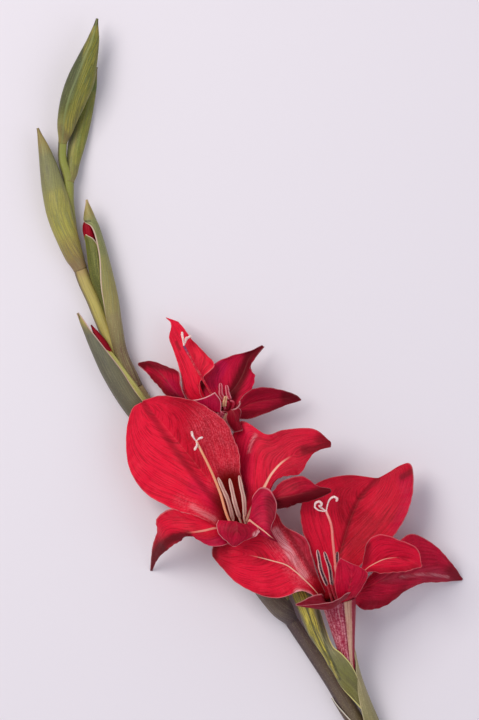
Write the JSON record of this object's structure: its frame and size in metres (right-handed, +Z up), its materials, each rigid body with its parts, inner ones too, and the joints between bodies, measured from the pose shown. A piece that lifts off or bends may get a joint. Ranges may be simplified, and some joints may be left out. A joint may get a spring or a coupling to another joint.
{
  "type": "cut gladiolus",
  "caption": "Cut gladiolus spike with green buds and open scarlet flowers, laid down on its back, to lie on a table or be placed in an arrangement",
  "frame": {"origin": "centre of the whole flower's box, on the surface that it lies on", "axes": "+Y runs up the spike towards the buds, +X to the right seen from above, +Z up from the surface to the open faces of the flowers"},
  "size_m": [0.2137, 0.4261, 0.0479],
  "materials": {
    "petals": "satin scarlet petal",
    "style": "smooth salmon",
    "stamens": "matte mauve beige",
    "stem": "smooth purplish brown and yellow green",
    "bract_olive": "satin olive grey green",
    "bract_green": "satin leaf green",
    "bract_yellow_green": "satin yellow green",
    "bract_khaki": "dry khaki",
    "bract_grey_brown": "dry grey brown"
  },
  "bodies": {
    "root": {"bud_a_inner_bract": "bract_yellow_green", "bud_a_outer_bract": "bract_green", "bud_b_inner_bract": "bract_yellow_green", "bud_b_outer_bract": "bract_green", "bud_c_inner_bract": "bract_yellow_green", "bud_c_outer_bract": "bract_olive", "bud_d_corolla": "petals", "bud_d_inner_bract": "bract_green", "bud_d_outer_bract": "bract_olive", "bud_e_corolla": "petals", "bud_e_inner_bract": "bract_yellow_green", "bud_e_outer_bract": "bract_olive", "flower_1_inner_bract": "bract_yellow_green", "flower_1_outer_bract": "bract_olive", "flower_1_perianth": "petals", "flower_1_stamen_1": "stamens", "flower_1_stamen_2": "stamens", "flower_1_stamen_3": "stamens", "flower_1_style": "style", "flower_2_inner_bract": "bract_yellow_green", "flower_2_outer_bract": "bract_grey_brown", "flower_2_perianth": "petals", "flower_2_stamen_1": "stamens", "flower_2_stamen_2": "stamens", "flower_2_stamen_3": "stamens", "flower_2_style": "style", "flower_3_inner_bract": "bract_khaki", "flower_3_outer_bract": "bract_yellow_green", "flower_3_perianth": "petals", "flower_3_stamen_1": "stamens", "flower_3_stamen_2": "stamens", "flower_3_stamen_3": "stamens", "flower_3_style": "style", "stem": "stem", "stem_sheath": "bract_khaki"}
  },
  "joints": []
}
